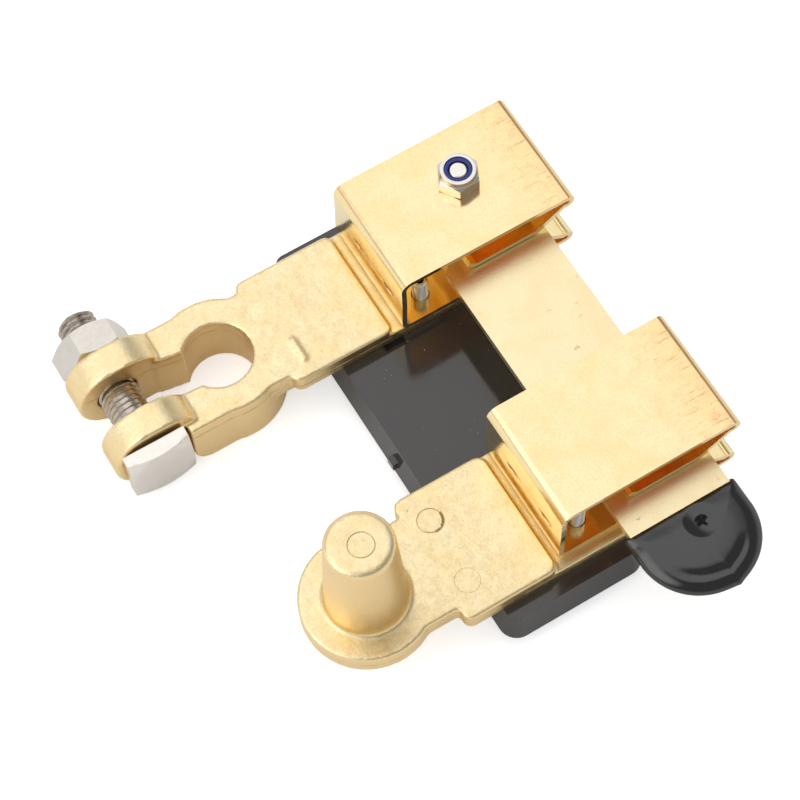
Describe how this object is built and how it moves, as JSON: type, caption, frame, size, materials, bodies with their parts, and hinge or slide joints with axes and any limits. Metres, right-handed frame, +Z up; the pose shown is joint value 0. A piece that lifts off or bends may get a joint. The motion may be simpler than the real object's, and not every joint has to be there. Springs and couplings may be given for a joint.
{
  "type": "battery disconnect switch",
  "caption": "Knife-blade battery disconnect: a clamp arm and a post arm on a plastic base, each with a folded spring jaw, bridged by a flat blade that swings out.",
  "frame": {"origin": "where the axis of the battery clamp's hole crosses the plane of the base plate's underside", "axes": "+X along the closed blade from its pivot to the grip, +Y from the battery clamp towards the jaws, +Z up, the way the battery post stands"},
  "size_m": [0.1447, 0.123, 0.0464],
  "materials": {
    "black_plastic": "glossy moulded black",
    "cast_brass": "blasted casting",
    "sheet_brass": "satin rolled sheet",
    "blade_brass": "satin flat bar",
    "dipped_grip": "glossy dipped black",
    "steel": "plain stainless",
    "blue_nylon": "plain nylon"
  },
  "bodies": {
    "switch": {"base_plate": "black_plastic", "clamp_arm": "cast_brass", "post_arm": "cast_brass", "pivot_jaw": "sheet_brass", "contact_jaw": "sheet_brass", "pivot_bolt": "steel", "pivot_lock_nut": "steel", "lock_nut_insert": "blue_nylon", "clamp_bolt": "steel", "pivot_jaw_screw_back": "steel", "pivot_jaw_screw_front": "steel", "contact_jaw_screw_back": "steel", "contact_jaw_screw_front": "steel"},
    "knife": {"blade": "blade_brass", "handle_grip": "dipped_grip"},
    "nut": {"clamp_nut": "steel"}
  },
  "joints": [
    {"name": "blade_swing", "type": "hinge", "parent": "switch", "child": "knife", "pos_m": [-0.001, 0.0676, 0.02115], "axis": [0, 0, 1], "range_deg": [0, 100]},
    {"name": "clamp_nut_turn", "type": "hinge", "parent": "switch", "child": "nut", "pos_m": [-0.01895, -0.0242, 0.0066], "axis": [1, 0, 0], "continuous": true}
  ]
}
